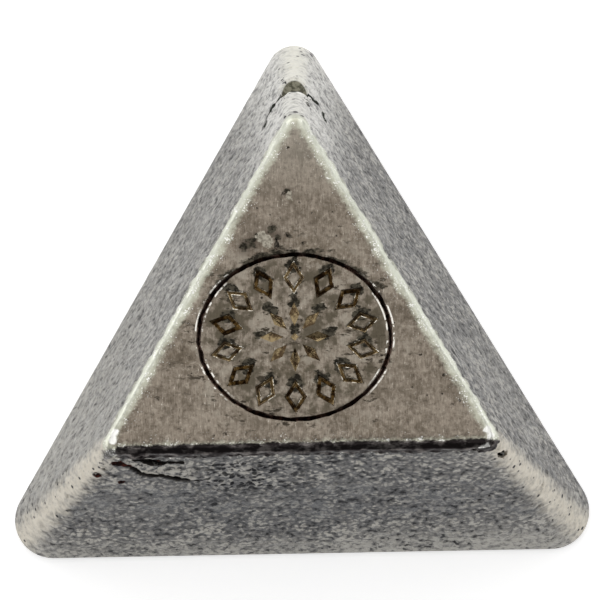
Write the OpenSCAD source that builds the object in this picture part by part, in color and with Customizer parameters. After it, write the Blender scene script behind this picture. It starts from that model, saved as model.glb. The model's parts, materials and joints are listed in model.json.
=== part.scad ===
// A poured silver ingot: a three-sided drafted block, cast in one pour with its
// small face down and then turned over to rest on its large face.
// The origin is the middle of the resting face, +Z is up, the front is -Y and
// the rear ridge stands on the +Y side. Sizes are in millimetres.

/* [Body] */
// Side of the base triangle, between its sharp corners
base_side = 50.4; // [44:0.1:64]
// Side of the top triangle, between its sharp corners
top_side = 30.4; // [26:0.1:38]
// Height from the resting face to the struck face
height = 20.9; // [16:0.1:28]

/* [Edges] */
// Plan radius of the two front ridges where they meet the base
front_foot_r = 3.3; // [2:0.1:4]
// Plan radius of the rear ridge where it meets the base
rear_foot_r = 2.4; // [2:0.1:4]
// Radius of the edge round the resting face
foot_edge_r = 0.9; // [0.4:0.05:1.4]
// Plan radius of the three ridges where they meet the top
rim_corner_r = 1; // [0.9:0.05:2]
// Radius of the edge round the struck face
rim_edge_r = 0.85; // [0.4:0.05:1.1]

/* [Struck oval] */
// Width of the oval along its groove, from side to side
oval_width = 14.2; // [9:0.1:16]
// Length of the oval along its groove, from front to back
oval_length = 12.3; // [8:0.1:14]
// Sideways place of the oval's centre on the struck face
oval_x = -0.3; // [-1:0.1:1]
// Front-to-back place of the oval's centre on the struck face
oval_y = -0.2; // [-1:0.1:1]
// Width of the groove at its mouth
groove_width = 0.45; // [0.3:0.05:0.8]
// Depth of the groove
groove_depth = 0.3; // [0.15:0.05:0.5]

/* [Pour lap] */
// How far the laps reach in behind the surface, where the first metal set too soon
lap_depth = 1.1; // [0.4:0.05:1.4]
// Height of the lap that crosses the rear ridge
rear_lap_height = 14.1; // [9:0.1:15]
// Opening of the rear lap on the ridge
rear_lap_gap = 0.6; // [0.3:0.05:2]
// Distance over which the rear lap closes up, forward from the ridge
rear_lap_run = 3.6; // [2:0.1:6]
// Width of the hollow that the metal left on the rear ridge, under its lap
hollow_width = 2; // [1:0.1:3]
// Length of the hollow, down along the ridge
hollow_length = 3.8; // [1:0.1:4]
// Depth of the hollow behind the ridge
hollow_depth = 0.9; // [0.4:0.05:1.4]
// Height of the front lap at its middle
front_lap_height = 16.9; // [9:0.1:17]
// Sideways place of the front lap's middle
front_lap_x = -10.3; // [-11:0.1:11]
// Length of the front lap along the wall
front_lap_run = 8; // [4:0.1:9]
// Opening of the front lap at its middle
front_lap_gap = 0.6; // [0.3:0.05:1]
// Slope of the front lap, downward to the right
front_lap_slope = 27; // [0:1:35]

/* [Hidden] */

// Facets round a ridge in plan, round an edge in section and round the oval
ridge_fn = 48;
edge_fn = 32;
oval_fn = 96;

// Shortest distance from the triangle's middle to its side
base_apothem = base_side / (2 * sqrt(3));
top_apothem = top_side / (2 * sqrt(3));
// Slope of the walls above the level, and how far each edge is drawn in by its rounding
wall_slope = atan2(height, base_apothem - top_apothem);
foot_inset = foot_edge_r / tan(wall_slope / 2);
rim_inset = rim_edge_r * tan(wall_slope / 2);
// Section of the body at the rear lap: apothem and plan radius of its ridges
rear_lap_share = rear_lap_height / height;
rear_lap_apothem = base_apothem + (top_apothem - base_apothem) * rear_lap_share;
rear_lap_ridge_r = rear_foot_r + (rim_corner_r - rear_foot_r) * rear_lap_share;
// How far the rear ridge leans in over the whole height, and its lean from the upright
ridge_run = 2 * (base_apothem - top_apothem) - (rear_foot_r - rim_corner_r);
ridge_lean = atan2(ridge_run, height);
// How far the middle of the hollow's ball stands out of the ridge
hollow_out = hollow_depth / 3;
// Y of the rear ridge at its lap, and of the front wall at the front lap
rear_lap_y = 2 * rear_lap_apothem - rear_lap_ridge_r;
front_lap_y = (base_apothem - top_apothem) * front_lap_height / height - base_apothem;
// Plan radius of the sound metal's ridges behind the laps, at the base and at the top
core_slice = 0.1;
core_foot_r = max(min(front_foot_r, rear_foot_r) - lap_depth, core_slice);
core_rim_r = max(rim_corner_r - lap_depth, core_slice);

// The ridges' turns about the middle, counted from the rear
rear_ridge = [0];
front_ridges = [120, 240];
all_ridges = concat(rear_ridge, front_ridges);

// Places children at those ridge centres of a triangle whose ridges have that radius
module at_ridges(turns, apothem, ridge_r) {
    for (turn = turns)
        rotate(turn)
            translate([0, 2 * (apothem - ridge_r), 0])
                children();
}

// A ring with a round section, the rounded corner of an edge
module corner_bead(ring_r, bead_r) {
    rotate_extrude($fn = ridge_fn)
        intersection() {
            translate([ring_r, 0])
                circle(bead_r, $fn = edge_fn);
            translate([0, -bead_r])
                square([ring_r + bead_r, 2 * bead_r]);
        }
}

// The cast block: three drafted walls between a rounded foot and a rounded rim
module cast_block() {
    hull() {
        translate([0, 0, foot_edge_r]) {
            at_ridges(front_ridges, base_apothem, front_foot_r)
                corner_bead(front_foot_r - foot_inset, foot_edge_r);
            at_ridges(rear_ridge, base_apothem, rear_foot_r)
                corner_bead(rear_foot_r - foot_inset, foot_edge_r);
        }
        translate([0, 0, height - rim_edge_r])
            at_ridges(all_ridges, top_apothem, rim_corner_r)
                corner_bead(rim_corner_r - rim_inset, rim_edge_r);
    }
}

// The sound metal behind the laps: the block drawn in by the depth of the laps
module lap_core() {
    hull() {
        at_ridges(all_ridges, base_apothem - lap_depth, core_foot_r)
            cylinder(h = core_slice, r = core_foot_r, $fn = edge_fn);
        translate([0, 0, height])
            at_ridges(all_ridges, top_apothem - lap_depth, core_rim_r)
                cylinder(h = core_slice, r = core_rim_r, $fn = edge_fn);
    }
}

// A slit that is widest on the rear ridge and closes up forward along both walls
module rear_lap() {
    translate([0, rear_lap_y, rear_lap_height])
        rotate([90, 0, 90])
            linear_extrude(base_side, center = true)
                polygon([
                    [-rear_lap_run, 0],
                    [rear_lap_run, -rear_lap_gap],
                    [rear_lap_run, rear_lap_gap]
                ]);
}

// A hollow that runs down the rear ridge from its lap: half of a long ball
module rear_hollow() {
    translate([0, rear_lap_y, rear_lap_height])
        rotate([ridge_lean, 0, 0])
            translate([0, hollow_out, 0])
                difference() {
                    scale([hollow_width / 2, hollow_depth + hollow_out, hollow_length])
                        sphere(1, $fn = edge_fn);
                    translate([-hollow_width, -2 * hollow_depth, 0])
                        cube([2 * hollow_width, 4 * hollow_depth, 2 * hollow_length]);
                }
}

// A sloping slit that is widest at its middle and closes up at both ends
module front_lap() {
    translate([front_lap_x, front_lap_y, front_lap_height])
        rotate([90, front_lap_slope, 0])
            linear_extrude(4 * lap_depth, center = true)
                polygon([
                    [-front_lap_run / 2, 0],
                    [0, -front_lap_gap / 2],
                    [front_lap_run / 2, 0],
                    [0, front_lap_gap / 2]
                ]);
}

// Both laps, no deeper than the sound metal behind them
module pour_laps() {
    difference() {
        union() {
            rear_lap();
            front_lap();
        }
        lap_core();
    }
}

// The oval line struck into the top: a V groove, drawn as a ring and narrowed to the oval
module oval_groove() {
    ring_r = oval_width / 2;
    half_w = groove_width / 2;
    translate([oval_x, oval_y, height])
        scale([1, oval_length / oval_width, 1])
            rotate_extrude($fn = oval_fn)
                polygon([
                    [ring_r, -groove_depth],
                    [ring_r + 2 * half_w, groove_depth],
                    [ring_r - 2 * half_w, groove_depth]
                ]);
}

module ingot() {
    color("silver")
        difference() {
            cast_block();
            oval_groove();
            pour_laps();
            rear_hollow();
        }
}

ingot();
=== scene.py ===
import json
import math

import bpy
import numpy as np
from mathutils import Matrix, Vector, noise
from mathutils.bvhtree import BVHTree

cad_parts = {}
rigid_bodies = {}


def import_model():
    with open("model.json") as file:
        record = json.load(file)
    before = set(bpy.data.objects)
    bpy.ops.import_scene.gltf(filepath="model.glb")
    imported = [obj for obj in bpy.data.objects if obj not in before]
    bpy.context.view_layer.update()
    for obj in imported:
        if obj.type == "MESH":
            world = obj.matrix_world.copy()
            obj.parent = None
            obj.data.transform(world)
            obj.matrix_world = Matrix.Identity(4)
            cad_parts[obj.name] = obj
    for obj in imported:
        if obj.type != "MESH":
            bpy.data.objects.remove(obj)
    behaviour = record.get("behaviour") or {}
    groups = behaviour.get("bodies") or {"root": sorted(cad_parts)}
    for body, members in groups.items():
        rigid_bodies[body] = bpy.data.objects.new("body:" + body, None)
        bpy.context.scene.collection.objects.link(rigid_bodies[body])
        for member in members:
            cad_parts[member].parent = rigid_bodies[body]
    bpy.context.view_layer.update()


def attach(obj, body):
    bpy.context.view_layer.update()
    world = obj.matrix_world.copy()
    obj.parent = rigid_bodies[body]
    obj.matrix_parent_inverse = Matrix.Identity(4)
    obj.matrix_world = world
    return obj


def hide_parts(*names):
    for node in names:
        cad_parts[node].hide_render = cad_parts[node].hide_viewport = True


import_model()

# The ingot: a block of fine silver, poured in one go into a three-sided mould
# with drafted walls. It lies on its open pour face, and the mould's bottom is
# now its top. The block starts as the smooth form that the mould had.
mm = 0.001
base_side, top_side, height = 50.4 * mm, 30.4 * mm, 20.9 * mm
front_foot, rear_foot, foot_edge = 3.3 * mm, 2.4 * mm, 0.9 * mm
rim_corner, rim_edge = 1.0 * mm, 0.85 * mm
base_apothem, top_apothem = [side / (2 * math.sqrt(3)) for side in (base_side, top_side)]
wall_slope = math.atan2(height, base_apothem - top_apothem)
foot_inset = foot_edge / math.tan(wall_slope / 2)
rim_inset = rim_edge * math.tan(wall_slope / 2)
ridge_turns = [math.radians(turn) for turn in (90, 210, 330)]
foot_corners = (rear_foot, front_foot, front_foot)


def apply_all(piece):
    """Applies every modifier of the piece, in order."""
    bpy.context.view_layer.objects.active = piece
    for modifier in list(piece.modifiers):
        bpy.ops.object.modifier_apply(modifier=modifier.name)


def only(piece):
    """Makes the piece the one that is selected and active."""
    bpy.ops.object.select_all(action="DESELECT")
    piece.select_set(True)
    bpy.context.view_layer.objects.active = piece


# Six rounded corners, three at the foot and three at the rim, drawn together
# into one block by a convex hull.
bpy.ops.object.select_all(action="DESELECT")
block = None
for turn, foot_corner in zip(ridge_turns, foot_corners):
    for apothem, corner, edge, inset, ring_level in (
        (base_apothem, foot_corner, foot_edge, foot_inset, foot_edge),
        (top_apothem, rim_corner, rim_edge, rim_inset, height - rim_edge),
    ):
        ring_out = 2 * (apothem - corner)
        bpy.ops.mesh.primitive_torus_add(
            location=(ring_out * math.cos(turn), ring_out * math.sin(turn), ring_level),
            major_radius=corner - inset, minor_radius=edge,
            major_segments=72, minor_segments=24)
        if block is None:
            block = bpy.context.object
            bpy.ops.object.transform_apply()
            bpy.ops.object.mode_set(mode="EDIT")
bpy.ops.mesh.select_all(action="SELECT")
bpy.ops.mesh.convex_hull()
bpy.ops.object.mode_set(mode="OBJECT")
smooth_skin = BVHTree.FromPolygons(
    [v.co for v in block.data.vertices], [p.vertices for p in block.data.polygons])

# The rough casting: the block cut up into a fine even skin, which takes the relief.
ingot = block
ingot.name = "ingot_casting"
skin = ingot.modifiers.new("fine_skin", "REMESH")
skin.mode = "VOXEL"
skin.voxel_size = 0.22 * mm
apply_all(ingot)

# The resting face stays flat, so its fine faces are dissolved into one, but for a narrow border.
flat_below, border_faces = 0.02 * mm, 3
only(ingot)
centres = np.empty(len(ingot.data.polygons) * 3)
ingot.data.polygons.foreach_get("center", centres)
bpy.ops.object.mode_set(mode="EDIT")
bpy.ops.mesh.select_mode(type="FACE")
bpy.ops.mesh.select_all(action="DESELECT")
bpy.ops.object.mode_set(mode="OBJECT")
ingot.data.polygons.foreach_set("select", centres.reshape(-1, 3)[:, 2] < flat_below)
bpy.ops.object.mode_set(mode="EDIT")
for step in range(border_faces):
    bpy.ops.mesh.select_less()
bpy.ops.mesh.dissolve_faces()
bpy.ops.object.mode_set(mode="OBJECT")


def corners_and_normals(mesh):
    """Places and normals of the mesh's vertices, as arrays."""
    places = np.empty(len(mesh.vertices) * 3)
    normals = np.empty(len(mesh.vertices) * 3)
    mesh.vertices.foreach_get("co", places)
    mesh.vertices.foreach_get("normal", normals)
    return places.reshape(-1, 3), normals.reshape(-1, 3)


def fade(value, low, high):
    """0 at low, 1 at high and a smooth step between them."""
    share = np.clip((value - low) / (high - low), 0, 1)
    return share * share * (3 - 2 * share)


def cloud(places, size, seed):
    """Smooth noise from about -0.5 to 0.5 at the places, with hills of that size."""
    shift = Vector((seed, 2 * seed, 3 * seed))
    return np.array([noise.noise(Vector(place) / size + shift) for place in places])


def from_line(points, start, end):
    """Distance of the points from the straight line between start and end."""
    along = np.array(end) - np.array(start)
    share = np.clip((points - start) @ along / (along @ along), 0, 1)
    return np.linalg.norm(points - start - share[:, None] * along, axis=1)


def crests(apothem, corners, level):
    """The highest points of the three rounded ridges at one level."""
    return [np.array([math.cos(turn), math.sin(turn), 0]) * (2 * apothem - corner) + (0, 0, level)
            for turn, corner in zip(ridge_turns, corners)]


feet = crests(base_apothem, foot_corners, 0)
tips = crests(top_apothem, (rim_corner,) * 3, height)
rims = crests(top_apothem, (0, 0, 0), height)


def to_lines(points, starts, ends):
    """Distance of the points from the nearest of these lines, in millimetres."""
    return np.min([from_line(points, start, end) for start, end in zip(starts, ends)], axis=0) / mm


def weigh(name, weights):
    """A vertex group of the ingot that holds these weights."""
    group = ingot.vertex_groups.new(name=name)
    for index in np.nonzero(weights > 0.002)[0]:
        group.add([int(index)], float(weights[index]), "REPLACE")


def on_wall_at(turn, level):
    """Place and outward direction of the smooth wall, at a turn in degrees and a level in mm."""
    out = Vector((math.cos(math.radians(turn)), math.sin(math.radians(turn)), 0))
    spot, normal, face, gap = smooth_skin.ray_cast(Vector((0, 0, level * mm)), out)
    return spot, normal


def to_route(points, route):
    """Distance of the points from a route along the wall, in millimetres."""
    stops = [np.array(on_wall_at(turn, level)[0]) for turn, level, gap in route]
    return to_lines(points, stops[:-1], stops[1:])


# Pour laps: seams where the first metal set before the rest reached it. One crosses the
# rear ridge, and two lie under the curled lips of a flap at the left of the front wall.
# Each route holds turns in degrees, levels and openings.
rear_route = [
    (98.6, 14.1, 0.05), (97.9, 13.5, 0.3), (96.6, 12.8, 0.4), (95.4, 12.7, 0.5), (94.4, 13.1, 0.7),
    (92.4, 13.5, 0.8), (90, 14.0, 0.5), (87.6, 13.7, 0.5), (86.7, 13.2, 0.45), (85.8, 12.6, 0.4),
    (84.7, 11.7, 0.4), (84, 11.3, 0.35), (83.2, 11.5, 0.25), (82.4, 12.5, 0.2), (82, 13.0, 0.05)]
lower_route = [
    (215.4, 19.2, 0.1), (217, 18.5, 0.5), (218.8, 17.6, 0.6), (220.5, 17.2, 0.7), (222.6, 17.0, 0.4),
    (224.8, 16.8, 0.8), (227.4, 16.4, 0.8), (229.8, 16.0, 0.4), (233, 15.6, 0.05)]
upper_route = [
    (216.2, 19.9, 0.1), (217.5, 19.9, 0.4), (218.5, 19.7, 0.7), (219.5, 19.4, 0.9), (221, 19.3, 0.8),
    (222.6, 19.2, 0.5), (224.3, 19.1, 0.4), (226.7, 19.1, 0.05)]
lap_turns, lap_levels, lap_openings = zip(*lower_route)

places, normals = corners_and_normals(ingot.data)
lean = normals[:, 2]
x_mm, y_mm, z_mm = places.T / mm
to_ridge, to_rim = to_lines(places, feet, tips), to_lines(places, rims, rims[1:] + rims[:1])
on_wall = fade(lean, 0.75, 0.4) * fade(lean, -0.9, -0.4)


def sand_islands(points):
    """1 on the raised islands of the sand grain and 0 in the lower places between them."""
    hills = cloud(points, 0.65 * mm, 1) + 0.5 * cloud(points, 0.4 * mm, 2)
    return fade(hills, -0.12, 0.14)


def turns_of(points):
    """Turns of the points about the middle of the block, in degrees."""
    return np.degrees(np.arctan2(points[:, 1], points[:, 0])) % 360


def over_lap(points):
    """Height of the points over the lower lap, in millimetres, and their share of its length."""
    turns = turns_of(points)
    share = fade(turns, 214.5, 216) * fade(turns, 233, 229) * (points[:, 1] < -8.5 * mm)
    return points[:, 2] / mm - np.interp(turns, lap_turns, lap_levels), share


above, tongue = over_lap(places)
tongue *= fade(above, -0.02, 0.14) * fade(above, 2.6, 1.4)
sanded = on_wall * fade(to_ridge, 0.3, 1.6) * fade(z_mm, 0.6, 3.0)
weigh("sand", sanded * (1 - sand_islands(places)))
weigh("grains", sanded)
weigh("waviness", on_wall * fade(z_mm, 4, 10) * fade(z_mm, 20.5, 18))
weigh("pitted", on_wall * fade(cloud(places, 5 * mm, 3), -0.1, 0.3) * fade(z_mm, 2.5, 5))
weigh("lumpy_rim", fade(to_rim, 1.4, 0.6))
weigh("ground_top", fade(lean, 0.95, 0.99))
weigh("tongue", tongue * on_wall * fade(y_mm, -8.2, -9))


def press(name, depth, group):
    """Presses a group of the casting's points in along their normals, or out if depth is negative."""
    step = ingot.modifiers.new(name, "DISPLACE")
    step.mid_level = 0.0
    step.strength = -depth
    step.vertex_group = group
    return step


def relief(name, kind, size, depth, group, hollows=None, **settings):
    """Presses a solid texture of this grain size into the casting, inwards only."""
    pattern = bpy.data.textures.new(name, kind)
    pattern.noise_scale = size
    for key, value in settings.items():
        setattr(pattern, key, value)
    if hollows:
        pattern.use_color_ramp = True
        for stop, position, grey in zip(pattern.color_ramp.elements, hollows, (0, 1)):
            stop.position = position
            stop.color = (grey, grey, grey, 1)
    step = press(name, -depth, group)
    step.texture = pattern
    step.texture_coords = "LOCAL"
    step.direction = "NORMAL"
    step.mid_level = 1.0


relief("mould_waves", "CLOUDS", 6.0 * mm, 0.10 * mm, "waviness", noise_depth=0)
relief("rim_lumps", "CLOUDS", 2.6 * mm, 0.14 * mm, "lumpy_rim", noise_depth=1)
press("sand_hollows", 0.10 * mm, "sand")
relief("sand_grains", "CLOUDS", 0.36 * mm, 0.06 * mm, "grains", noise_depth=1)
relief("gas_pits", "VORONOI", 1.2 * mm, 0.26 * mm, "pitted", (0.10, 0.22))
relief("top_dents", "CLOUDS", 1.6 * mm, 0.05 * mm, "ground_top", noise_depth=2)
press("curled_tongue", -0.24 * mm, "tongue")
relief("crumples", "CLOUDS", 0.5 * mm, 0.2 * mm, "tongue", noise_depth=1)
apply_all(ingot)

# A lap is cut by a thin ragged wedge: its steps and bends, then its least opening and its
# overhang in mm, how much it narrows inwards and how far it tilts up from the wall.
ragged = np.random.default_rng(11)
crack_steps, crack_bends = 36, 15
crack_least, crack_overhang, crack_narrowing, crack_tilt = 0.04, 0.8, 0.4, 0.6


def crack(name, route, depth):
    """A thin ragged cutter along a route on the wall, that deep in mm."""
    bpy.ops.mesh.primitive_cube_add(size=1)
    cutter = bpy.context.object
    cutter.name = name
    bpy.ops.object.mode_set(mode="EDIT")
    bpy.ops.mesh.select_mode(type="EDGE")
    bpy.ops.mesh.select_all(action="DESELECT")
    bpy.ops.object.mode_set(mode="OBJECT")
    for edge in cutter.data.edges:
        ends = [cutter.data.vertices[index].co.x for index in edge.vertices]
        edge.select = abs(ends[0] - ends[1]) > 0.5
    bpy.ops.object.mode_set(mode="EDIT")
    bpy.ops.mesh.subdivide(number_cuts=crack_steps - 1)
    bpy.ops.object.mode_set(mode="OBJECT")
    turns, levels, openings = np.array(route).T
    stops = np.linspace(0, crack_steps, len(route))
    steps = np.arange(crack_steps + 1)
    line = [on_wall_at(turn, level) for turn, level in
            zip(np.interp(steps, stops, turns), np.interp(steps, stops, levels))]
    facing = sum((normal for spot, normal in line), Vector()).normalized()
    out = (facing + Vector((0, 0, crack_tilt))).normalized()
    across = out.cross(Vector((1, 0, 0))).normalized()
    gaps = np.maximum(np.interp(steps, stops, openings), crack_least)
    bends = np.linspace(0, crack_steps, crack_bends)
    sides = [np.interp(steps, bends, ragged.uniform(0.5, 1.5, crack_bends)) for side in range(2)]
    for vertex in cutter.data.vertices:
        step = round((vertex.co.x + 0.5) * crack_steps)
        upper, inner = vertex.co.y > 0, vertex.co.z < 0
        half = 0.5 * gaps[step] * sides[int(upper)][step] * (crack_narrowing if inner else 1.0)
        rise = -depth if inner else crack_overhang
        vertex.co = line[step][0] + (across * (half if upper else -half) + out * rise) * mm
    bpy.ops.object.mode_set(mode="EDIT")
    bpy.ops.mesh.select_all(action="SELECT")
    bpy.ops.mesh.quads_convert_to_tris()
    bpy.ops.mesh.normals_make_consistent(inside=False)
    bpy.ops.object.mode_set(mode="OBJECT")
    return cutter


rear_lap = crack("rear_lap", rear_route, 1.1)
lower_lap = crack("lower_lap", lower_route, 0.9)
upper_lap = crack("upper_lap", upper_route, 0.9)

# The hollow on the rear ridge is half of a long ball that lies along the ridge.
hollow_level, hollow_out = 14.0, 0.3 * mm
hollow_wide, hollow_deep, hollow_long = 2.7 * mm, 1.4 * mm, 4.0 * mm
ridge_lean = math.atan2(feet[0][1] - tips[0][1], height)
bpy.ops.mesh.primitive_uv_sphere_add(segments=32, ring_count=24, radius=1)
hollow = bpy.context.object
hollow.scale = (hollow_wide / 2, hollow_deep, hollow_long)
bpy.ops.object.transform_apply()
hollow.rotation_euler = (ridge_lean, 0, 0)
hollow.location = on_wall_at(90, hollow_level)[0] + Vector((0, hollow_out, 0))
bpy.ops.object.transform_apply()
bpy.ops.object.mode_set(mode="EDIT")
bpy.ops.mesh.select_all(action="SELECT")
bpy.ops.mesh.bisect(
    plane_co=(0, 0, hollow_level * mm), plane_no=(0, 0, 1), use_fill=True, clear_outer=True)
bpy.ops.object.mode_set(mode="OBJECT")


def pit(spot, out, wide, long, deep, turn=0):
    """A torn little pit: an uneven ball, sunk into the surface at a spot."""
    bpy.ops.mesh.primitive_ico_sphere_add(subdivisions=3, radius=1)
    mark = bpy.context.object
    shift = Vector(ragged.uniform(0, 50, 3))
    for vertex in mark.data.vertices:
        vertex.co *= 1 + 0.6 * noise.noise(1.6 * vertex.co + shift)
    mark.scale = (wide / 2 * mm, long / 2 * mm, deep * mm)
    mark.rotation_euler = (0, 0, math.radians(turn))
    bpy.ops.object.transform_apply()
    mark.rotation_euler = Vector(out).to_track_quat("Z", "Y").to_euler()
    mark.location = spot
    bpy.ops.object.transform_apply()
    return mark


# Each pit has its place, then its width, length, depth and turn.
corner_pit = (329, 18.6)
pits = [pit((x * mm, y * mm, height), (0, 0, 1), *shape) for x, y, *shape in (
    (-1.5, 6.7, 0.5, 0.8, 0.14, 0), (-0.6, 7.4, 0.7, 0.4, 0.12, -30),
    (0.5, 6.8, 0.5, 0.3, 0.1, 10), (9.0, 1.0, 1.2, 0.35, 0.16, 15), (-0.9, 10.6, 0.5, 0.35, 0.1, 40),
    (5.6, -6.6, 0.6, 0.35, 0.1, 0), (-10.5, -4.6, 0.4, 0.4, 0.12, 0), (-8.8, -6.9, 0.5, 0.3, 0.08, 20),
    (11.2, -5.5, 0.3, 0.3, 0.1, 0), (3.2, 8.0, 0.4, 0.25, 0.08, 0), (-5.6, -7.4, 0.4, 0.3, 0.1, 60))]
pits += [pit(*on_wall_at(turn, level), *shape) for turn, level, *shape in (
    (*corner_pit, 0.8, 1.4, 0.7, 20), (213, 16.8, 0.9, 0.45, 0.35, 0), (217.3, 15.7, 0.6, 0.35, 0.3, 20),
    (243, 18.9, 0.5, 0.3, 0.2, 0), (262, 19.0, 0.4, 0.35, 0.2, 0), (300, 18.0, 0.5, 0.35, 0.2, 0))]
torn_pits = [pit(*on_wall_at(turn, level), *shape) for turn, level, *shape in (
    (214.8, 19.1, 1.2, 0.8, 0.5, 0), (213, 17.9, 0.6, 0.4, 0.35, 20), (87, 14.8, 0.55, 0.8, 0.5, 0),
    (86.4, 15.5, 0.5, 0.7, 0.5, 0))]

# The struck mark: a die with an oval line, a border of lozenges and a star of chisel cuts.
# Every line of it leaves a V groove in the brushed top.
oval_width, oval_length = 14.2 * mm, 12.3 * mm
oval_x, oval_y = -0.3 * mm, -0.2 * mm
flatten = oval_length / oval_width
die_marks, die_lines = [], []


def ring_line(x, y, radius, thick, depth, turn=0.0, wide=1.0, long=1.0, sides=4):
    """One closed line of the die: a ring with a diamond section, stretched and turned."""
    bpy.ops.mesh.primitive_torus_add(
        major_radius=radius, minor_radius=thick / 2, major_segments=sides, minor_segments=4)
    mark = bpy.context.object
    mark.scale = (wide, long, 2 * depth / thick)
    bpy.ops.object.transform_apply()
    mark.rotation_euler = (0, 0, turn)
    mark.location = (x, y, height)
    bpy.ops.object.transform_apply()
    die_marks.append(mark)
    return mark


def chisel_cut(x, y, turn, wide, long, depth):
    """One pointed cut of the die with a sharp keel, turned to point outwards."""
    bpy.ops.mesh.primitive_uv_sphere_add(segments=4, ring_count=2, radius=1)
    mark = bpy.context.object
    mark.scale = (wide / 2, long / 2, depth)
    bpy.ops.object.transform_apply()
    mark.rotation_euler = (0, 0, turn)
    mark.location = (x, y, height)
    bpy.ops.object.transform_apply()
    die_marks.append(mark)
    middle = np.array([x, y, height])
    tip = np.array([-math.sin(turn), math.cos(turn), 0]) * 0.5 * long
    if tip[1] > 0:
        die_lines.append((middle + tip, middle + 0.6 * tip))


groove_wide, groove_deep = 0.44 * mm, 0.21 * mm
wobble, wobble_size = 0.06 * mm, 0.6 * mm
oval_line = ring_line(oval_x, oval_y, oval_width / 2, groove_wide, groove_deep, long=flatten, sides=144)
noise.seed_set(11)
for vertex in oval_line.data.vertices:
    vertex.co += wobble * noise.noise_vector(vertex.co / wobble_size)
lozenges, lozenge_place, lozenge_reach, lozenge_wide = 14, 0.725, 1.0 * mm, 0.64
lozenge_line, lozenge_depth = 0.80 * mm, 0.22 * mm
for index in range(lozenges):
    turn = 2 * math.pi * (index + 0.5) / lozenges
    x = oval_x + lozenge_place * oval_width / 2 * math.cos(turn)
    y = oval_y + lozenge_place * oval_length / 2 * math.sin(turn)
    strike = ragged.uniform(0.8, 1.15)
    ring_line(x, y, lozenge_reach, lozenge_line, strike * lozenge_depth,
              turn=turn - math.pi / 2, wide=lozenge_wide)
    points = [np.array([x, y, height]) + lozenge_reach * np.array([
        math.cos(turn) * ahead - math.sin(turn) * aside * lozenge_wide,
        math.sin(turn) * ahead + math.cos(turn) * aside * lozenge_wide, 0])
        for ahead, aside in ((1, 0), (0, 1), (-1, 0), (0, -1))]
    # The die's short strokes at the upper end of each mark, where burr and painted shade go.
    top_corner = max(points, key=lambda point: point[1])
    die_lines += [(top_corner, 0.7 * top_corner + 0.3 * point) for point in points if point is not top_corner]
star_cuts, star_reach = 8, 1.7 * mm
star_wide, star_long, star_depth = 0.9 * mm, 2.1 * mm, 0.34 * mm
for index in range(star_cuts):
    turn = 2 * math.pi * index / star_cuts
    chisel_cut(oval_x + star_reach * math.cos(turn), oval_y + star_reach * math.sin(turn), turn - math.pi / 2,
               star_wide, star_long, star_depth * ragged.uniform(0.85, 1.1))
chisel_cut(oval_x, oval_y, 0.0, 0.7 * mm, 0.7 * mm, 0.24 * mm)

for cutters in ([rear_lap, lower_lap, upper_lap] + pits, [hollow] + torn_pits + die_marks):
    only(cutters[0])
    for cutter in cutters:
        cutter.select_set(True)
    bpy.ops.object.join()
    tool = bpy.context.object
    only(ingot)
    cut = ingot.modifiers.new("cut", "BOOLEAN")
    cut.operation = "DIFFERENCE"
    cut.solver = "EXACT"
    cut.object = tool
    apply_all(ingot)
    bpy.data.objects.remove(tool)

# What the finish goes by, stored for each point: how deep it lies under the smooth block, how
# far it is from a ridge, the rim, a lap and the die's lines, and how dark its wall is painted, from tarnish
# and painted shade.
places, normals = corners_and_normals(ingot.data)
x_mm, y_mm, z_mm = places.T / mm
nearest = [smooth_skin.find_nearest(place) for place in places]
depths = np.array([hit[3] for hit in nearest]) / mm
on_skin = np.array([hit[0] for hit in nearest])
topness = fade(np.array([hit[1].z for hit in nearest]), 0.55, 0.92)
to_ridge, to_rim = to_lines(on_skin, feet, tips), to_lines(on_skin, rims, rims[1:] + rims[:1])
to_seam = np.min([to_route(on_skin, (start, end)) - 0.2 * (start[2] + end[2])
                  for route in (lower_route, upper_route, rear_route)
                  for start, end in zip(route[:-1], route[1:])], axis=0)


def spots(*marks):
    """1 in the middle of each mark at x, y, z, fading to nothing over its radius, all in mm."""
    shares = [np.exp(-np.sum((places / mm - mark[:3]) ** 2, axis=1) / mark[3] ** 2) for mark in marks]
    return np.max(shares, axis=0)


above, lap_share = over_lap(on_skin)
opening = np.interp(turns_of(on_skin), lap_turns, lap_openings)
flap = lap_share * fade(above, 0.0, 0.1) * fade(above, 2.6, 1.6)
lip = lap_share * fade(above, 0.05, 0.12) * fade(above, 0.6, 0.3)
# Painted shadow on the wall just under the flap's lower lip.
shade = lap_share * fade(above, 0.0, -0.1) * fade(above, -0.35 - 0.6 * opening, -0.25 - 0.45 * opening)
# Painted shade and stain: dark spots round a torn dent above the oval, standing for its shadow and a brown
# smudge.
dent_shade_and_stain = spots(
    (-3.9, 6.6, 20.9, 0.6), (-3.3, 6.9, 20.9, 0.6), (-2.9, 7.4, 20.9, 0.35), (-1.9, 7.8, 20.9, 0.45),
    (-1.4, 7.4, 20.9, 0.4), (-0.6, 10.7, 20.9, 0.35))
flake = spots((-2.5, 7.3, 20.9, 0.45), (-2.2, 6.9, 20.9, 0.45), (-0.5, 10.4, 20.9, 0.3))
corner_spot, corner_out = on_wall_at(*corner_pit)
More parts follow.
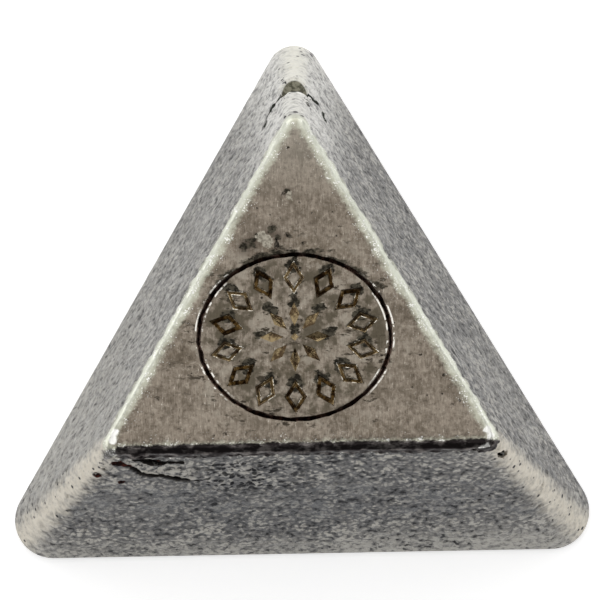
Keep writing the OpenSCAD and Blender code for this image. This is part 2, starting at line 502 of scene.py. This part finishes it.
# Painted highlights: glint spots at the top's front corners, on the front rim, on the rear lip and in the
# corner pit.
glint_spots = spots(
    (-13.8, -7.6, 20.9, 0.4), (-13.7, -7.1, 20.9, 0.4), (14, -7.8, 20.9, 0.4), (13.8, -7.3, 20.9, 0.4),
    (13.8, -8.55, 20.7, 0.2), (13.6, -8.6, 20.7, 0.2), (13.4, -8.6, 20.7, 0.2), (13.2, -8.65, 20.6, 0.15),
    (0.65, 19.7, 14.3, 0.3), (0.3, 19.8, 14.25, 0.2), (-0.5, 19.75, 14.25, 0.2),
    (*(corner_spot / mm - 0.3 * corner_out + Vector((0.2, 0, -0.7))), 0.2))
smudge = spots(
    (-14.1, -8.7, 20.5, 0.5), (-14.6, -9.0, 20.1, 0.7), (-15.0, -9.3, 19.6, 0.7), (-15.2, -9.6, 18.9, 0.6))
rust = spots(
    (-10.6, -9.0, 19.2, 0.4), (-15.2, -9.9, 16.8, 0.45), (-13.4, -10.2, 15.7, 0.35), (-13.5, -9.2, 19.1, 0.6),
    (-12.9, -9.3, 18.8, 0.5), (15.0, -9.3, 18.9, 0.35))

to_die = np.full(len(places), 9.0)
struck = z_mm > height / mm - 0.6
die_starts, die_ends = zip(*die_lines)
# Burr and painted shade lie on the far side of the die's lines.
burr_and_shade_side = np.array([0, 0.25 * mm, 0])
to_die[struck] = to_lines(on_skin[struck] - burr_and_shade_side, die_starts, die_ends)
front_facing, left_facing, right_facing = [
    np.clip(normals[:, 0] * math.cos(turn) + normals[:, 1] * math.sin(turn), 0, 1) ** 2
    for turn in (math.radians(270), math.radians(150), math.radians(30))]
# Painted shade as well as tarnish: the front wall is painted darkest, the right and left walls less, for
# light that comes from behind and the sides.
side_shade_and_tarnish = 0.85 * front_facing + 0.26 * left_facing + 0.48 * right_facing
side_shade_and_tarnish += 0.16 * cloud(on_skin, 6 * mm, 5) - 0.2 * front_facing * fade(x_mm, 8, 18)
side_shade_and_tarnish -= 0.10 * front_facing * fade(x_mm, -5, -13) + 0.05 * front_facing * fade(z_mm, 15, 18)
worn = 1.4 * left_facing * fade(x_mm, -9, -18) + 1.5 * front_facing * fade(z_mm, 6, 1)
worn += 0.7 * front_facing * fade(z_mm, 9, 4) * fade(x_mm, 1, 6)
pocked = front_facing * fade(z_mm, 12, 17) * fade(np.abs(x_mm + 3), 10, 3) + fade(to_ridge, 2.4, 1.0)
honeycomb = front_facing * fade(z_mm, 12.5, 15) * fade(z_mm, 19.4, 18.4) * fade(np.abs(x_mm + 4), 6, 2)
for name, values in (
        ("depth", depths), ("to_ridge", to_ridge), ("to_rim", to_rim), ("to_die", to_die),
        ("to_seam", to_seam), ("flap", flap), ("lip", lip), ("shade", shade), ("glint_spots", glint_spots),
        ("rust", rust), ("dent_shade_and_stain", dent_shade_and_stain), ("flake", flake), ("smudge", smudge),
        ("island", sand_islands(on_skin)), ("side_shade_and_tarnish", side_shade_and_tarnish), ("pocked", pocked),
        ("honeycomb", honeycomb), ("worn", worn), ("topness", topness)):
    layer = ingot.data.attributes.new(name, "FLOAT", "POINT")
    layer.data.foreach_set("value", values.astype(np.float32))
only(ingot)
bpy.ops.object.shade_smooth_by_angle(angle=math.radians(45))

# Cast silver: tarnished dark in the sand grain of the walls, with painted shade on the front wall,
# worn bright along ridges and rim with a painted highlight on the rim, and brushed to a warm grey on top.
silver = bpy.data.materials.new("cast_silver")
silver.use_nodes = True
tree = silver.node_tree
shader = tree.nodes["Principled BSDF"]


def put(kind, **values):
    """A new node in the tree at hand, with its settings."""
    made = tree.nodes.new(kind)
    for key, value in values.items():
        setattr(made, key, value)
    return made


def fill(made, values):
    """Links sockets to the inputs of a node, or sets values on them, by name or number."""
    for key, value in values.items():
        if isinstance(value, bpy.types.NodeSocket):
            tree.links.new(value, made.inputs[key])
        else:
            made.inputs[key].default_value = value
    return made.outputs[0]


def sums(operation, first, second=0.0):
    """One sum of two values."""
    return fill(put("ShaderNodeMath", operation=operation), {0: first, 1: second})


def total(*parts):
    """The sum of several values, each with its own weight."""
    result = 0.0
    for value, weight in parts:
        result = fill(put("ShaderNodeMath", operation="MULTIPLY_ADD"), {0: value, 1: weight, 2: result})
    return result


def product(*shares):
    """The product of several shares."""
    result = shares[0]
    for share in shares[1:]:
        result = sums("MULTIPLY", result, share)
    return result


def between(value, low, high, out_low=0.0, out_high=1.0):
    """A smooth step of the value from low to high."""
    made = put("ShaderNodeMapRange", interpolation_type="SMOOTHSTEP")
    return fill(made, {0: value, 1: low, 2: high, 3: out_low, 4: out_high})


def blend(share, first, second):
    """The first colour, turning into the second as the share grows."""
    made = put("ShaderNodeMix", data_type="RGBA")
    fill(made, {0: share, 6: first, 7: second})
    return made.outputs[2]


def blend_values(share, first, second):
    """The first value, turning into the second as the share grows."""
    return fill(put("ShaderNodeMix", data_type="FLOAT"), {0: share, 2: first, 3: second})


def grains(vector, per_metre, detail=2.0, rough=0.5):
    """Solid noise with that many grains to the metre."""
    made = put("ShaderNodeTexNoise")
    return fill(made, {"Vector": vector, "Scale": per_metre, "Detail": detail, "Roughness": rough})


def dots(vector, per_metre):
    """Distance from the nearest of a swarm of points, that many to the metre."""
    return fill(put("ShaderNodeTexVoronoi"), {"Vector": vector, "Scale": per_metre})


def stored(name):
    """A value that the mesh holds for each point."""
    return put("ShaderNodeAttribute", attribute_name=name).outputs["Fac"]


place = put("ShaderNodeTexCoord").outputs["Object"]
brushed = fill(put("ShaderNodeMapping"), {"Vector": place, "Scale": (1.0, 0.15, 1.0)})
on_oval = fill(put("ShaderNodeMapping"), {
    "Vector": place, "Scale": (2 / oval_width, 2 / oval_length, 0),
    "Location": (-2 * oval_x / oval_width, -2 * oval_y / oval_length, 0)})
from_oval = put("ShaderNodeVectorMath", operation="LENGTH")
fill(from_oval, {0: on_oval})
oval_reach = from_oval.outputs["Value"]
deep, ridge_gap, rim_gap, seam_gap, die_gap = [
    stored(name) for name in ("depth", "to_ridge", "to_rim", "to_seam", "to_die")]
island, shade_and_tarnish_level, pock_share = stored("island"), stored("side_shade_and_tarnish"), stored("pocked")
worn_share, top_share = stored("worn"), stored("topness")
split = put("ShaderNodeSeparateXYZ")
fill(split, {"Vector": place})
sideways, forward, level = split.outputs

patches = grains(place, 420, 3, 0.6)
lumps = grains(place, 1300, 3, 0.6)
flecks = grains(place, 2300, 1.5, 0.5)
grit = grains(place, 3200, 3, 0.7)
crumbs = grains(place, 1900, 4, 0.7)
cells = dots(place, 2300)
fine = grains(place, 8000, 2, 0.5)

# Walls: worn islands stay light, what lies lower is dark, and the front is the darkest, from tarnish and from
# painted shade of the shadowed front side.
tarnish_and_shade = between(shade_and_tarnish_level, 0.15, 0.85)
raised = total((island, 0.08), (cells, -0.5), (crumbs, 0.5), (grit, 0.5), (fine, 0.15), (patches, 0.3))
low = blend(tarnish_and_shade, (0.215, 0.209, 0.200, 1), (0.066, 0.067, 0.071, 1))
middle = blend(tarnish_and_shade, (0.295, 0.288, 0.275, 1), (0.131, 0.130, 0.131, 1))
high = blend(tarnish_and_shade, (0.470, 0.456, 0.426, 1), (0.470, 0.450, 0.408, 1))
faint = blend(tarnish_and_shade, (0.350, 0.340, 0.322, 1), (0.225, 0.217, 0.205, 1))
high = blend(between(total((patches, 0.4), (lumps, 0.6)), 0.42, 0.56), faint, high)
rear = between(forward, 6 * mm, 12 * mm)
haze = product(rear, between(total((ridge_gap, 1.0), (crumbs, 2.0)), 9.0, 2.5))
low = blend(haze, low, (0.36, 0.355, 0.345, 1))
middle = blend(haze, middle, (0.60, 0.59, 0.565, 1))
high = blend(haze, high, (0.72, 0.71, 0.68, 1))
wall = blend(between(raised, 0.36, 0.47), low, middle)
wall = blend(between(raised, 0.51, 0.63), wall, high)
calm = product(
    between(level, 6 * mm, 9 * mm), between(level, 16 * mm, 13 * mm), between(forward, -7 * mm, -9 * mm),
    between(total((patches, 0.7), (lumps, 0.3)), 0.47, 0.57, 0.0, 0.65))
calm_tone = blend(between(fine, 0.38, 0.62), (0.105, 0.110, 0.118, 1), (0.195, 0.197, 0.200, 1))
wall = blend(calm, wall, calm_tone)
worn_share = product(worn_share, between(crumbs, 0.40, 0.60, 0.15, 0.65))
wall = blend(worn_share, wall, (0.46, 0.445, 0.41, 1))
holes = product(
    between(raised, 0.37, 0.28), between(tarnish_and_shade, 0, 1, 0.5, 0.95), between(haze, 0.0, 0.8, 1.0, 0.15))
wall = blend(holes, wall, (0.02, 0.02, 0.022, 1))
wall = blend(between(fine, 0.42, 0.30, 0, 0.35), wall, (0.05, 0.05, 0.052, 1))
pocks = product(between(total((dots(place, 1300), 1.0), (patches, 0.8)), 0.58, 0.48), pock_share)
wall = blend(pocks, wall, (0.035, 0.034, 0.036, 1))
comb = between(total((dots(place, 1900), 1.0), (crumbs, 0.6), (patches, 0.5)), 1.02, 0.92)
comb = product(comb, stored("honeycomb"))
wall = blend(comb, wall, (0.028, 0.028, 0.031, 1))
cream = blend(rear, (0.66, 0.615, 0.53, 1), (0.76, 0.745, 0.67, 1))
upper_rear = product(rear, between(level, 13.6 * mm, 14.4 * mm, 0.0, 0.55))
ridge_wear = product(
    between(total((ridge_gap, 1.0), (lumps, 1.8), (flecks, 1.0)), 3.2, 1.5),
    sums("SUBTRACT", between(crumbs, 0.36, 0.52, 0.6, 0.95), pocks), sums("SUBTRACT", 1.0, upper_rear))
wall = blend(ridge_wear, wall, cream)
flap_share, lip_share = stored("flap"), stored("lip")
wall = blend(product(flap_share, between(crumbs, 0.48, 0.55)), wall, (0.42, 0.40, 0.36, 1))
wall = blend(product(flap_share, between(crumbs, 0.47, 0.41)), wall, (0.03, 0.028, 0.027, 1))
wall = blend(product(lip_share, 0.85), wall, (0.46, 0.44, 0.395, 1))
seam = between(total((seam_gap, 1.0), (crumbs, 0.3)), 0.26, 0.16)
rear_pocket = product(rear, between(ridge_gap, 2.0, 1.5, 0.0, 0.06))
soot_and_shadow = between(sums("ADD", deep, rear_pocket), 0.24, 0.36)
# Soot here also takes in the painted shadow under the flap's lip.
soot_and_shadow = sums("MAXIMUM", soot_and_shadow, sums("MAXIMUM", seam, product(stored("shade"), 0.97)))
rusty = between(total((stored("rust"), 1.0), (crumbs, 0.8)), 0.70, 0.85)
soot_and_shadow = sums("MAXIMUM", soot_and_shadow, rusty)
soot_and_shadow_tone = blend(rear, (0.018, 0.016, 0.015, 1), (0.042, 0.046, 0.038, 1))
rust_tone = blend(between(grit, 0.46, 0.60), (0.02, 0.012, 0.011, 1), (0.085, 0.026, 0.02, 1))
soot_and_shadow_tone = blend(rusty, soot_and_shadow_tone, rust_tone)
pocket_floor = blend(between(crumbs, 0.42, 0.58), (0.088, 0.085, 0.062, 1), (0.235, 0.225, 0.17, 1))
pocket_share = product(rear, between(ridge_gap, 2.2, 1.6), between(seam_gap, 0.05, 0.25))
pocket_floor = blend(between(level, 12.7 * mm, 13.7 * mm), pocket_floor, (0.035, 0.036, 0.026, 1))
soot_and_shadow_tone = blend(pocket_share, soot_and_shadow_tone, pocket_floor)
wall = blend(soot_and_shadow, wall, soot_and_shadow_tone)

# Top: a mottled warm grey under fine brush strokes, stained in and around the mark, with painted shade on the
# far side of its lines and painted glints along them.
strokes = grains(brushed, 11000, 2, 0.6)
tear_place = fill(put("ShaderNodeMapping"), {"Vector": place, "Scale": (0.45, 1.0, 1.0)})
tears = grains(tear_place, 1700, 4, 0.65)
mottle = total((patches, 0.3), (crumbs, 0.7))
blots = grains(place, 230, 2, 0.5)
top = blend(between(mottle, 0.36, 0.64), (0.265, 0.224, 0.179, 1), (0.160, 0.132, 0.102, 1))
top = blend(between(blots, 0.56, 0.68, 0, 0.5), top, (0.115, 0.090, 0.062, 1))
top = blend(between(grit, 0.54, 0.66, 0, 0.6), top, (0.37, 0.325, 0.265, 1))
top = blend(between(grit, 0.44, 0.34, 0, 0.6), top, (0.075, 0.06, 0.045, 1))
top = blend(between(strokes, 0.48, 0.70, 0, 0.4), top, (0.36, 0.31, 0.255, 1))
top = blend(between(strokes, 0.44, 0.27, 0, 0.4), top, (0.085, 0.067, 0.05, 1))
top = blend(between(strokes, 0.71, 0.77, 0, 0.8), top, (0.75, 0.71, 0.62, 1))
mottling = total((patches, 0.5), (lumps, 0.5))
top = blend(between(mottling, 0.51, 0.60, 0, 0.45), top, (0.105, 0.085, 0.062, 1))
top = blend(between(forward, 9 * mm, 16 * mm, 0, 0.4), top, (0.36, 0.335, 0.285, 1))
near_oval = between(oval_reach, 1.5, 1.0, 0.2, 1.0)
top = blend(product(near_oval, between(mottling, 0.48, 0.40, 0, 0.6)), top, (0.34, 0.305, 0.25, 1))
top = blend(product(near_oval, between(tears, 0.59, 0.66)), top, (0.045, 0.037, 0.027, 1))
# Partly torn burr and partly painted shade: dark ragged marks on the far side of the oval line and above each
# mark of the die.
torn_edge_and_shade = product(
    between(total((oval_reach, 1.0), (tears, -0.35)), 0.91, 0.86), between(oval_reach, 0.97, 0.99),
    between(forward, 1.5 * mm, 4.5 * mm))
burr_and_shade = product(between(total((die_gap, 1.0), (tears, 1.4)), 1.10, 1.00), between(oval_reach, 0.99, 0.97))
stain = product(between(oval_reach, 1.02, 0.9), between(mottling, 0.47, 0.57, 0.05, 0.8))
top = blend(stain, top, (0.085, 0.072, 0.05, 1))
torn_and_shaded_tone = blend(between(grit, 0.42, 0.60), (0.018, 0.016, 0.012, 1), (0.07, 0.062, 0.046, 1))
top = blend(sums("MAXIMUM", torn_edge_and_shade, burr_and_shade), top, torn_and_shaded_tone)
prick = between(total((dots(place, 1100), 1.0), (crumbs, 0.8)), 0.48, 0.40)
top = blend(prick, top, (0.04, 0.033, 0.026, 1))
# The dent's painted shade and stain, with ragged edges.
dent_shade_share = stored("dent_shade_and_stain")
top = blend(product(dent_shade_share, 0.85), top, (0.080, 0.062, 0.050, 1))
top = blend(between(total((dent_shade_share, 1.0), (tears, 1.6)), 1.35, 1.6), top, torn_and_shaded_tone)
flake_tone = blend(between(grit, 0.42, 0.58), (0.19, 0.17, 0.135, 1), (0.36, 0.33, 0.27, 1))
top = blend(between(total((stored("flake"), 1.0), (grit, 1.0), (crumbs, 1.0)), 1.35, 1.5), top, flake_tone)
gold = blend(between(crumbs, 0.40, 0.60), (0.070, 0.045, 0.024, 1), (0.29, 0.22, 0.12, 1))
bronze = blend(between(deep, 0.07, 0.11), (0.022, 0.016, 0.012, 1), gold)
oval_tone = blend(between(crumbs, 0.45, 0.62), (0.022, 0.015, 0.012, 1), (0.10, 0.065, 0.05, 1))
bronze = blend(between(oval_reach, 0.96, 0.97), bronze, oval_tone)
groove = product(between(deep, 0.05, 0.07), between(oval_reach, 1.12, 1.09))
pitting = product(between(deep, 0.06, 0.12), between(oval_reach, 1.09, 1.12), between(rim_gap, 1.3, 1.7))
pit_tone = blend(between(crumbs, 0.45, 0.55), (0.03, 0.026, 0.021, 1), (0.10, 0.085, 0.065, 1))
top = blend(groove, top, bronze)
top = blend(pitting, top, pit_tone)
# Painted glints: white specks at the mouths of the die's grooves.
mouth_glints = product(
    between(deep, 0.05, 0.065), between(deep, 0.12, 0.09), between(crumbs, 0.54, 0.60),
    between(oval_reach, 0.97, 0.95))
top = blend(mouth_glints, top, (0.80, 0.76, 0.68, 1))
# Painted glints along the outer edge of the oval line, at its left and right only.
off_line = sums("ABSOLUTE", sums("SUBTRACT", oval_reach, 1.0))
off_edge = sums("ABSOLUTE", sums("SUBTRACT", off_line, 0.034))
glint = product(
    between(off_edge, 0.012, 0.005), between(sums("ABSOLUTE", sideways), 4.5 * mm, 6.2 * mm),
    between(total((crumbs, 0.6), (patches, 0.4)), 0.51, 0.56))
top = blend(glint, top, (0.9, 0.87, 0.8, 1))

# Rim: pale on the two sides, partly worn by handling and partly a painted highlight, with a painted dark
# reflection along the front.
# Painted highlight and wear: a pale band along the side rims and a brighter painted highlight line at their
# edge.
rim_side = between(total((rim_gap, 1.0), (patches, 0.5)), 1.15, 0.85)
rim_inside = between(total((rim_gap, 1.0), (crumbs, 1.0), (patches, 0.5)), 1.80, 1.30)
rim_wear_and_sheen = blend_values(top_share, rim_side, rim_inside)
rim_highlight = between(total((rim_gap, 1.0), (patches, 0.4), (crumbs, 0.6)), 1.10, 0.75)
# Painted dark reflection: the front rim is painted dark with lighter streaks, standing for the dark
# surroundings it mirrors.
front_rim_reflection = product(
    between(total((rim_gap, 1.0), (lumps, 0.9)), 1.42, 1.30),
    between(total((forward, 1 / mm), (lumps, 0.5)), -7.72, -7.88),
    between(total((sideways, 1 / mm), (lumps, 1.4)), -13.0, -12.75))
colour = blend(top_share, wall, top)
colour = blend(product(rim_wear_and_sheen, 0.85), colour, (0.50, 0.50, 0.405, 1))
colour = blend(product(rim_highlight, 0.85), colour, (0.77, 0.785, 0.68, 1))
reflection_streaks = between(total((tears, 0.6), (lumps, 0.4)), 0.47, 0.62)
dark_reflection_tone = blend(reflection_streaks, (0.018, 0.015, 0.015, 1), (0.15, 0.135, 0.128, 1))
colour = blend(front_rim_reflection, colour, dark_reflection_tone)
smudged = between(total((stored("smudge"), 1.0), (crumbs, 1.4)), 0.95, 1.20, 0.0, 0.9)
smudge_tone = blend(between(grit, 0.42, 0.58), (0.03, 0.028, 0.03, 1), (0.20, 0.19, 0.195, 1))
colour = blend(smudged, colour, smudge_tone)
# Painted glints: white specks near the rim, and the glint spots, painted in a near white.
near_rim = between(total((rim_gap, 1.0), (lumps, 1.0)), 2.6, 1.0)
painted_glints = product(
    between(total((fine, 0.6), (lumps, 0.4), (rim_wear_and_sheen, 0.05)), 0.61, 0.66),
    sums("SUBTRACT", near_rim, front_rim_reflection))
painted_glints = sums("MAXIMUM", painted_glints, between(total((stored("glint_spots"), 1.0), (crumbs, 1.2)), 0.98, 1.30))
colour = blend(painted_glints, colour, (0.93, 0.92, 0.88, 1))

# Soot, the painted shadow under the flap's lip and the pits of the walls are dull crusts, and the rest is
# bare metal.
matt = product(sums("MAXIMUM", soot_and_shadow, comb), sums("SUBTRACT", 1.0, top_share))
fill(shader, {
    "Base Color": colour, "Metallic": sums("SUBTRACT", 1.0, matt), "Specular IOR Level": 0.0})
wall_gloss, top_gloss = between(flecks, 0.35, 0.65, 0.40, 0.55), between(strokes, 0.3, 0.7, 0.42, 0.30)
roughness = blend_values(top_share, wall_gloss, top_gloss)
roughness = blend_values(groove, roughness, 0.2)
roughness = blend_values(rim_wear_and_sheen, roughness, 0.28)
roughness = blend_values(front_rim_reflection, roughness, 0.16)
roughness = blend_values(matt, roughness, 0.7)
fill(shader, {"Roughness": roughness})

wall_bump = total((raised, 2.0), (pocks, -0.8))
top_bump = total((strokes, 0.3), (lumps, 0.8), (crumbs, 1.0), (prick, -0.5))
rim_bump = total((lumps, 0.8), (crumbs, 0.3))
relief_height = blend_values(rim_wear_and_sheen, blend_values(top_share, wall_bump, top_bump), rim_bump)
bump = put("ShaderNodeBump")
fill(bump, {"Strength": 0.7, "Distance": 0.08 * mm, "Height": relief_height})
fill(shader, {"Normal": bump.outputs["Normal"]})
ingot.data.materials.clear()
ingot.data.materials.append(silver)

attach(ingot, "root")
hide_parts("ingot")

# The stage: a plain pale floor, a camera at the photograph's angle, soft panels of light
# overhead, at both sides and behind, and one small bright window above the front left.
# Otherwise only the pale surroundings light the front.
bpy.ops.mesh.primitive_plane_add(size=4.0, location=(0, 0, 0))
floor = bpy.context.object
floor.name = "floor"
pale = bpy.data.materials.new("pale_floor")
pale.use_nodes = True
tree = pale.node_tree
tree.nodes.remove(tree.nodes["Principled BSDF"])
paper = fill(put("ShaderNodeBsdfDiffuse"), {"Color": (0.9, 0.9, 0.9, 1)})
rays = put("ShaderNodeLightPath")
mirrored = sums("MAXIMUM", rays.outputs["Is Glossy Ray"], rays.outputs["Is Transmission Ray"])
seen = total((rays.outputs["Is Camera Ray"], 0.45), (mirrored, 0.25))
lift = fill(put("ShaderNodeEmission"), {"Color": (1, 1, 1, 1), "Strength": seen})
both = fill(put("ShaderNodeAddShader"), {0: paper, 1: lift})
tree.links.new(both, tree.nodes["Material Output"].inputs["Surface"])
floor.data.materials.append(pale)


def panel(name, spot, aim, wide, high, brightness):
    """A soft panel of light at a spot, facing aim, as bright as a surface of that value."""
    bpy.ops.object.light_add(type="AREA", location=spot)
    lamp = bpy.context.object
    lamp.name = name
    lamp.data.shape = "RECTANGLE"
    lamp.data.size, lamp.data.size_y = wide, high
    lamp.data.energy = brightness * math.pi * wide * high
    lamp.rotation_euler = (Vector(aim) - Vector(spot)).to_track_quat("-Z", "Y").to_euler()


panel("overhead", (0.0, 0.30, 0.90), (0, 0.1, 0), 1.2, 1.2, 0.75)
panel("left_side", (-0.70, 0.15, 0.30), (0, 0, 0.02), 0.8, 0.5, 1.2)
panel("right_side", (0.70, 0.15, 0.30), (0, 0, 0.02), 0.8, 0.5, 0.95)
panel("behind", (0.0, 0.80, 0.35), (0, 0, 0.02), 1.2, 0.5, 1.3)
panel("window", (-0.45, -0.20, 0.90), (0, 0, 0.02), 0.2, 0.2, 5.0)
world = bpy.data.worlds.new("studio")
bpy.context.scene.world = world
world.use_nodes = True
world.node_tree.nodes["Background"].inputs["Color"].default_value = (1, 1, 1, 1)
world.node_tree.nodes["Background"].inputs["Strength"].default_value = 0.35

camera_data = bpy.data.cameras.new("camera")
camera = bpy.data.objects.new("camera", camera_data)
bpy.context.collection.objects.link(camera)
camera_data.sensor_width = 36.0
camera_data.lens = 240.0
right = Vector((0.99983, -0.01844, -0.00285)).normalized()
back = Vector((-0.00019, -0.16286, 0.98665)).normalized()
up = back.cross(right)
camera_place = Vector((0.086, -45.627, 312.679)) * mm
camera.matrix_world = Matrix.Translation(camera_place) @ Matrix((right, up, back)).transposed().to_4x4()
bpy.context.scene.camera = camera
bpy.context.scene.view_settings.view_transform = "Standard"
